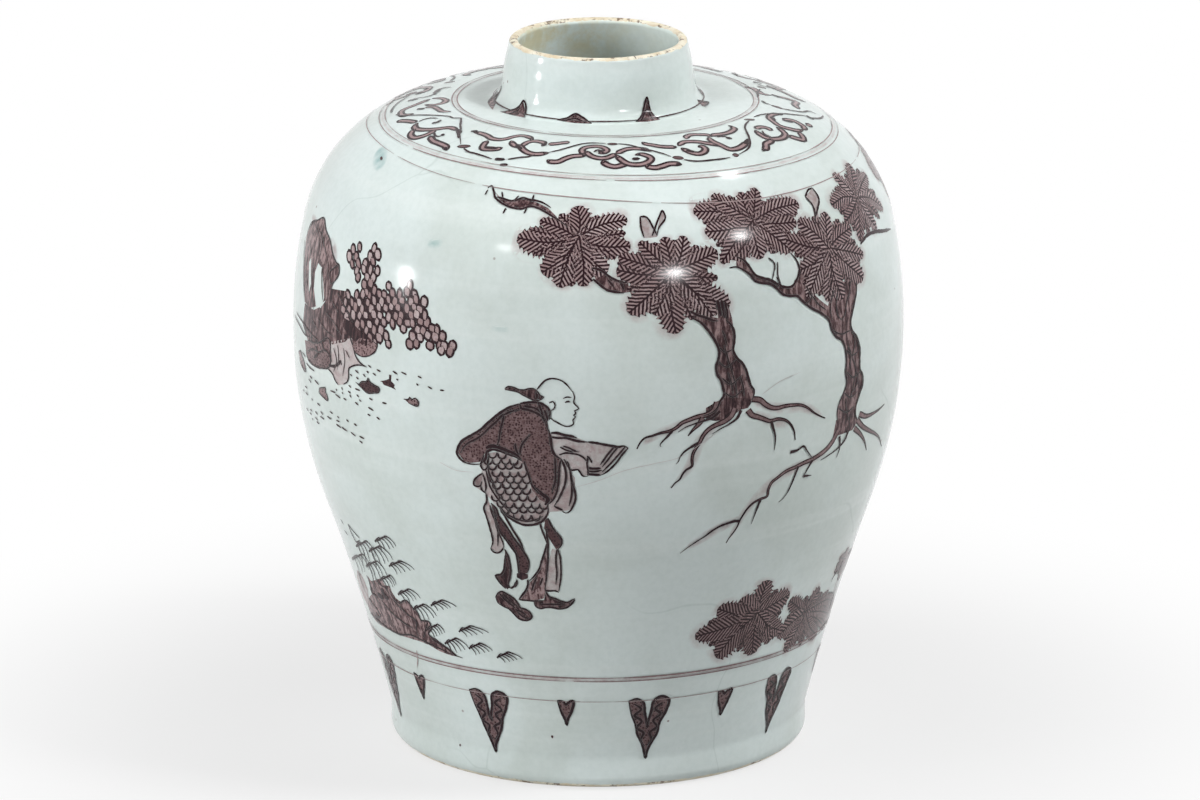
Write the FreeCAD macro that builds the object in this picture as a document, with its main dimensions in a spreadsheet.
import FreeCAD, Part
import math
import os
import Sketcher

os.makedirs("parts", exist_ok=True)
doc = FreeCAD.newDocument("vase")

# The vase stands on z = 0 with its turning axis on Z. Lengths are in millimetres and turns in degrees.
# A turn is the way a stretch of the outline faces, counted from level outwards up to straight up.
driving_sizes = {
    "foot_radius": 77.3,
    "foot_height": 12.2,
    "foot_round": 5.0,
    "foot_bare": 2.2,
    "ring_width": 9.6,
    "ring_draft": 1.6,
    "recess_depth": 6.5,
    "floor_wall": 7.6,
    "floor_round": 16.0,
    "flare_curve": 800.0,
    "belly_radius": 112.7,
    "belly_height": 158.0,
    "belly_curve": 197.0,
    "belly_turn": 11.5,
    "shoulder_curve": 55.4,
    "shoulder_turn": 85.8,
    "crown_curve": 300.0,
    "seat_share": 0.3638,
    "neck_fillet": 5.5,
    "neck_taper": 9.5,
    "neck_rise": 22.75,
    "body_wall": 4.6,
    "neck_wall": 2.8,
    "outer_coat": 0.45,
    "inner_coat": 0.4,
    "base_coat": 0.4,
    "slip_bed": 0.8,
}
sizes = doc.addObject("Spreadsheet::Sheet", "sizes")
for row, (alias, value) in enumerate(driving_sizes.items(), start=1):
    sizes.set(f"A{row}", alias)
    sizes.set(f"B{row}", str(value))
    sizes.setAlias(f"B{row}", alias)
doc.recompute()

# Centres, radii, turns and corners of the outline that follow from the driving sizes, each by name.
points = doc.addObject("App::VarSet", "points")


def derive(name, rule):
    points.addProperty("App::PropertyFloat", name, "Outline")
    points.setExpression(name, rule)


def derive_turn(name, rule):
    points.addProperty("App::PropertyAngle", name, "Outline")
    points.setExpression(name, rule)


def derive_place(name, rule_r, rule_z):
    derive(f"{name}_r", rule_r)
    derive(f"{name}_z", rule_z)


def derive_corner(name, centre, radius, turn):
    """A place at a given radius and turn round one of the centres."""
    derive_place(name, f"{centre}_r + {radius} * cos({turn})", f"{centre}_z + {radius} * sin({turn})")


# How deep each skin of the wall lies under the glazed outside, on the body and on the thinner neck.
derive("outside_depth", "0")
derive("clay_depth", "sizes.outer_coat")
derive("hollow_depth", "clay_depth + sizes.body_wall")
derive("lining_depth", "hollow_depth + sizes.inner_coat")
derive("outside_neck_depth", "0")
derive("clay_neck_depth", "sizes.outer_coat")
derive("hollow_neck_depth", "clay_neck_depth + sizes.neck_wall")
derive("lining_neck_depth", "hollow_neck_depth + sizes.inner_coat")

# Belly, shoulder and crown are arcs that run on from each other without a corner.
derive_place("belly", "sizes.belly_radius - sizes.belly_curve", "sizes.belly_height")
derive_corner("shoulder", "belly", "(sizes.belly_curve - sizes.shoulder_curve)", "sizes.belly_turn")
derive_corner("crown", "shoulder", "(sizes.shoulder_curve - sizes.crown_curve)", "sizes.shoulder_turn")
derive("seat_radius", "sizes.belly_radius * sizes.seat_share")
derive_turn("seat_turn", "acos((seat_radius - crown_r) / sizes.crown_curve)")

# The skirt hollows in gently from the belly to the top of the straight foot band.
derive("heel_reach", "hypot(sizes.foot_radius - belly_r; sizes.belly_height - sizes.foot_height)")
derive("flare_reach", "sizes.belly_curve + sizes.flare_curve")
derive_turn("heel_dip", "atan2(sizes.belly_height - sizes.foot_height; sizes.foot_radius - belly_r)")
derive_turn("flare_dip", "acos((flare_reach ^ 2 + heel_reach ^ 2 - sizes.flare_curve ^ 2)"
            " / (2 * flare_reach * heel_reach))")
derive_turn("waist_turn", "flare_dip - heel_dip")
derive_corner("flare", "belly", "flare_reach", "waist_turn")
derive_turn("heel_turn", "atan2(flare_z - sizes.foot_height; flare_r - sizes.foot_radius)")

# The neck rises from the crown in a hollow fillet and leans inwards to a fully rounded lip.
derive_corner("fillet", "crown", "(sizes.crown_curve + sizes.neck_fillet)", "seat_turn")
derive("rim_z", "crown_z + sizes.crown_curve * sin(seat_turn) + sizes.neck_rise")
derive("outside_lip_curve", "lining_neck_depth / 2")
derive("clay_lip_curve", "outside_lip_curve - clay_neck_depth")
derive("hollow_lip_curve", "outside_lip_curve - sizes.inner_coat")
derive("lip_z", "rim_z - outside_lip_curve")
derive("lip_r", "fillet_r - (sizes.neck_fillet + outside_lip_curve) / cos(sizes.neck_taper)"
       " - (lip_z - fillet_z) * tan(sizes.neck_taper)")
derive_place("lip_top", "lip_r", "rim_z")
derive_corner("outside_lip", "lip", "outside_lip_curve", "sizes.neck_taper")
derive_corner("clay_lip", "lip", "clay_lip_curve", "sizes.neck_taper")
derive_corner("hollow_lip", "lip", "-hollow_lip_curve", "sizes.neck_taper")
derive_corner("lining_lip", "lip", "-outside_lip_curve", "sizes.neck_taper")

for skin in ("outside", "clay", "hollow", "lining"):
    derive(f"{skin}_flare_curve", f"sizes.flare_curve + {skin}_depth")
    derive(f"{skin}_belly_curve", f"sizes.belly_curve - {skin}_depth")
    derive(f"{skin}_shoulder_curve", f"sizes.shoulder_curve - {skin}_depth")
    derive(f"{skin}_crown_curve", f"sizes.crown_curve - {skin}_depth")
    derive(f"{skin}_fillet_curve", f"sizes.neck_fillet + {skin}_neck_depth")
    derive_corner(f"{skin}_waist", "belly", f"{skin}_belly_curve", "waist_turn")
    derive_corner(f"{skin}_belly_top", "belly", f"{skin}_belly_curve", "sizes.belly_turn")
    derive_corner(f"{skin}_crown_start", "crown", f"{skin}_crown_curve", "sizes.shoulder_turn")
    derive_corner(f"{skin}_seat", "crown", f"{skin}_crown_curve", "seat_turn")
    derive_corner(f"{skin}_root", "fillet", f"-{skin}_fillet_curve", "sizes.neck_taper")

# A bed of slip, square to the wall, joins each section to the next.
derive_turn("waist_bed_turn", "waist_turn + sizes.slip_bed / sizes.belly_curve * 1 rad")
derive_turn("shoulder_bed_turn", "sizes.belly_turn * 1 deg + sizes.slip_bed / sizes.shoulder_curve * 1 rad")
derive_turn("seat_bed_turn", "seat_turn - sizes.slip_bed / sizes.crown_curve * 1 rad")
for skin in ("clay", "hollow"):
    derive_corner(f"{skin}_waist_bed", "belly", f"{skin}_belly_curve", "waist_bed_turn")
    derive_corner(f"{skin}_shoulder_bed", "shoulder", f"{skin}_shoulder_curve", "shoulder_bed_turn")
    derive_corner(f"{skin}_seat_bed", "crown", f"{skin}_crown_curve", "seat_bed_turn")

# Under the neck the inside turns round the fillet's centre and runs out to the thicker crown.
for skin in ("hollow", "lining"):
    derive_turn(f"{skin}_throat_turn",
                f"seat_turn - acos({skin}_fillet_curve / (sizes.neck_fillet + {skin}_depth))")
    derive_corner(f"{skin}_throat", "fillet", f"-{skin}_fillet_curve", f"{skin}_throat_turn")

# The foot is a turned ring with a rounded outer edge, under a flat base. The glaze stops above its bare edge.
derive_place("foot", "sizes.foot_radius - sizes.foot_round", "sizes.foot_round")
derive_turn("bare_turn", "asin((sizes.foot_bare - sizes.foot_round) / sizes.foot_round)")
derive("outside_foot_curve", "sizes.foot_round")
derive("clay_foot_curve", "sizes.foot_round - clay_depth")
for skin in ("outside", "clay"):
    derive_corner(f"{skin}_bare", "foot", f"{skin}_foot_curve", "bare_turn")
    derive_place(f"{skin}_band", f"sizes.foot_radius - {skin}_depth", "sizes.foot_round")
    derive_corner(f"{skin}_heel", "flare", f"-{skin}_flare_curve", "heel_turn")
derive_place("contact_outer", "foot_r", "0")
derive_place("contact_inner", "foot_r - sizes.ring_width", "0")
derive_place("ring_inner", "contact_inner_r - sizes.ring_draft", "sizes.recess_depth - sizes.slip_bed")
derive_place("ring_outer", "clay_band_r", "ring_inner_z")
derive_place("base_inner", "ring_inner_r", "sizes.recess_depth")
derive_place("base_outer", "clay_band_r", "sizes.recess_depth")
derive_place("base_middle", "0", "sizes.recess_depth")
derive_place("coat_inner", "ring_inner_r", "sizes.recess_depth - sizes.base_coat")
derive_place("coat_middle", "0", "coat_inner_z")

# Inside, the wall turns into the floor through a round that touches both.
derive("hollow_bowl_curve", "sizes.floor_round")
derive("lining_bowl_curve", "sizes.floor_round - sizes.inner_coat")
derive("floor_z", "sizes.recess_depth + sizes.floor_wall")
derive("bowl_z", "floor_z + sizes.floor_round")
derive("bowl_reach", "hollow_flare_curve + sizes.floor_round")
derive("bowl_r", "flare_r - sqrt(bowl_reach ^ 2 - (bowl_z - flare_z) ^ 2)")
derive_turn("bowl_turn", "atan2(flare_z - bowl_z; flare_r - bowl_r)")
for skin in ("hollow", "lining"):
    derive_corner(f"{skin}_bowl", "bowl", f"{skin}_bowl_curve", "bowl_turn")
    derive_place(f"{skin}_floor", "bowl_r", f"bowl_z - {skin}_bowl_curve")
    derive_place(f"{skin}_middle", "0", f"{skin}_floor_z")
doc.recompute()


def place(name):
    return FreeCAD.Vector(getattr(points, f"{name}_r"), getattr(points, f"{name}_z"), 0)


def origin_plane(body, role):
    for feature in body.Origin.OriginFeatures:
        if feature.Role == role:
            return feature


def bind(sketch, constraint, rule):
    index = sketch.addConstraint(constraint)
    sketch.setExpression(f"Constraints[{index}]", rule)


def pin_corner(sketch, edge, tip, name):
    """Ties one end of an edge to a named corner, which may lie on the axis or on the ground."""
    corner = place(name)
    if corner.x == 0:
        sketch.addConstraint(Sketcher.Constraint("PointOnObject", edge, tip, -2))
    else:
        bind(sketch, Sketcher.Constraint("DistanceX", -1, 1, edge, tip, corner.x), f"points.{name}_r")
    if corner.y == 0:
        sketch.addConstraint(Sketcher.Constraint("PointOnObject", edge, tip, -1))
    else:
        bind(sketch, Sketcher.Constraint("DistanceY", -1, 1, edge, tip, corner.y), f"points.{name}_z")


def add_arc(sketch, start, end, centre_name, skin):
    """Adds the shorter arc from start to end and returns its index and its two ends in that order."""
    centre = place(centre_name)
    radius = (end - centre).Length
    first = math.atan2(start.y - centre.y, start.x - centre.x)
    last = math.atan2(end.y - centre.y, end.x - centre.x)
    forwards = (last - first) % math.tau < math.pi
    if not forwards:
        first, last = last, first
    circle = Part.Circle(centre, FreeCAD.Vector(0, 0, 1), radius)
    edge = sketch.addGeometry(Part.ArcOfCircle(circle, first, last), False)
    bind(sketch, Sketcher.Constraint("Radius", edge, radius), f"points.{skin}_{centre_name}_curve")
    return (edge, 1, 2) if forwards else (edge, 2, 1)


def turned(label, outline):
    """A piece turned round the vertical axis. The outline lists its corners in order. A corner that
    an arc leads to is followed by the arc's centre and by the skin that the arc lies on."""
    body = doc.addObject("PartDesign::Body", label)
    body.Label = label
    sketch = body.newObject("Sketcher::SketchObject", f"{label}_section")
    sketch.AttachmentSupport = (origin_plane(body, "XZ_Plane"), "")
    sketch.MapMode = "FlatFace"
    edges = []
    start = place(outline[-1][0])
    for name, *arc in outline:
        end = place(name)
        if arc:
            edges.append(add_arc(sketch, start, end, *arc))
        else:
            edges.append((sketch.addGeometry(Part.LineSegment(start, end), False), 1, 2))
        pin_corner(sketch, edges[-1][0], edges[-1][2], name)
        start = end
    for (edge, _, tip), (follower, tail, _) in zip(edges, edges[1:] + edges[:1]):
        sketch.addConstraint(Sketcher.Constraint("Coincident", edge, tip, follower, tail))
    turning = body.newObject("PartDesign::Revolution", f"{label}_turning")
    turning.Profile = sketch
    turning.ReferenceAxis = (sketch, ["V_Axis"])
    turning.Angle = 360
    body.Placement = FreeCAD.Placement()
    return body


pieces = [
    turned("foot_ring", [
        ("contact_inner",),
        ("contact_outer",),
        ("outside_bare", "foot", "outside"),
        ("clay_bare",),
        ("clay_band", "foot", "clay"),
        ("ring_outer",),
        ("ring_inner",),
    ]),
    turned("foot_slip", [
        ("ring_inner",),
        ("ring_outer",),
        ("base_outer",),
        ("base_inner",),
    ]),
    turned("lower_section", [
        ("base_middle",),
        ("base_outer",),
        ("clay_heel",),
        ("clay_waist", "flare", "clay"),
        ("hollow_waist",),
        ("hollow_bowl", "flare", "hollow"),
        ("hollow_floor", "bowl", "hollow"),
        ("hollow_middle",),
    ]),
    turned("waist_slip", [
        ("clay_waist",),
        ("clay_waist_bed", "belly", "clay"),
        ("hollow_waist_bed",),
        ("hollow_waist", "belly", "hollow"),
    ]),
    turned("middle_section", [
        ("clay_waist_bed",),
        ("clay_belly_top", "belly", "clay"),
        ("hollow_belly_top",),
        ("hollow_waist_bed", "belly", "hollow"),
    ]),
    turned("shoulder_slip", [
        ("clay_belly_top",),
        ("clay_shoulder_bed", "shoulder", "clay"),
        ("hollow_shoulder_bed",),
        ("hollow_belly_top", "shoulder", "hollow"),
    ]),
    turned("shoulder_section", [
        ("clay_shoulder_bed",),
        ("clay_crown_start", "shoulder", "clay"),
        ("clay_seat_bed", "crown", "clay"),
        ("hollow_seat_bed",),
        ("hollow_crown_start", "crown", "hollow"),
        ("hollow_shoulder_bed", "shoulder", "hollow"),
    ]),
    turned("neck_slip", [
        ("clay_seat_bed",),
        ("clay_seat", "crown", "clay"),
        ("hollow_seat",),
        ("hollow_seat_bed", "crown", "hollow"),
    ]),
    turned("neck", [
        ("clay_seat",),
        ("clay_root", "fillet", "clay"),
        ("clay_lip",),
        ("outside_lip",),
        ("lip_top", "lip", "outside"),
        ("lining_lip", "lip", "outside"),
        ("hollow_lip",),
        ("hollow_root",),
        ("hollow_throat", "fillet", "hollow"),
        ("hollow_seat",),
    ]),
    turned("outer_glaze", [
        ("outside_bare",),
        ("outside_band", "foot", "outside"),
        ("outside_heel",),
        ("outside_waist", "flare", "outside"),
        ("outside_belly_top", "belly", "outside"),
        ("outside_crown_start", "shoulder", "outside"),
        ("outside_seat", "crown", "outside"),
        ("outside_root", "fillet", "outside"),
        ("outside_lip",),
        ("clay_lip",),
        ("clay_root",),
        ("clay_seat", "fillet", "clay"),
        ("clay_crown_start", "crown", "clay"),
        ("clay_belly_top", "shoulder", "clay"),
        ("clay_waist", "belly", "clay"),
        ("clay_heel", "flare", "clay"),
        ("clay_band",),
        ("clay_bare", "foot", "clay"),
    ]),
    turned("inner_glaze", [
        ("hollow_middle",),
        ("hollow_floor",),
        ("hollow_bowl", "bowl", "hollow"),
        ("hollow_waist", "flare", "hollow"),
        ("hollow_waist_bed", "belly", "hollow"),
        ("hollow_belly_top", "belly", "hollow"),
        ("hollow_shoulder_bed", "shoulder", "hollow"),
        ("hollow_crown_start", "shoulder", "hollow"),
        ("hollow_seat_bed", "crown", "hollow"),
        ("hollow_seat", "crown", "hollow"),
        ("hollow_throat",),
        ("hollow_root", "fillet", "hollow"),
        ("hollow_lip",),
        ("lining_lip",),
        ("lining_root",),
        ("lining_throat", "fillet", "lining"),
        ("lining_seat",),
        ("lining_crown_start", "crown", "lining"),
        ("lining_belly_top", "shoulder", "lining"),
        ("lining_waist", "belly", "lining"),
        ("lining_bowl", "flare", "lining"),
        ("lining_floor", "bowl", "lining"),
        ("lining_middle",),
    ]),
    turned("base_glaze", [
        ("coat_middle",),
        ("coat_inner",),
        ("base_inner",),
        ("base_middle",),
    ]),
]
doc.recompute()

for member in doc.Objects:
    if "Invalid" in member.State or "Error" in member.State:
        raise RuntimeError(f"{member.Label} did not build: {member.State}")
for piece in pieces:
    if piece.Shape.isNull() or not piece.Shape.isValid() or piece.Shape.Volume <= 0:
        raise RuntimeError(f"{piece.Label} has no sound solid")
for piece in pieces:
    piece.Shape.exportStep(f"parts/{piece.Label}.step")
    box = piece.Shape.optimalBoundingBox()
    print(f"{piece.Label}: {piece.Shape.Volume / 1000:.1f} cm3, z {box.ZMin:.2f} to {box.ZMax:.2f},"
          f" widest {box.XLength:.2f} mm")
print(f"height {points.rim_z:.2f} mm, seat at {points.outside_seat_z:.2f} mm,"
      f" mouth {2 * points.outside_lip_r:.2f} mm across the lip")
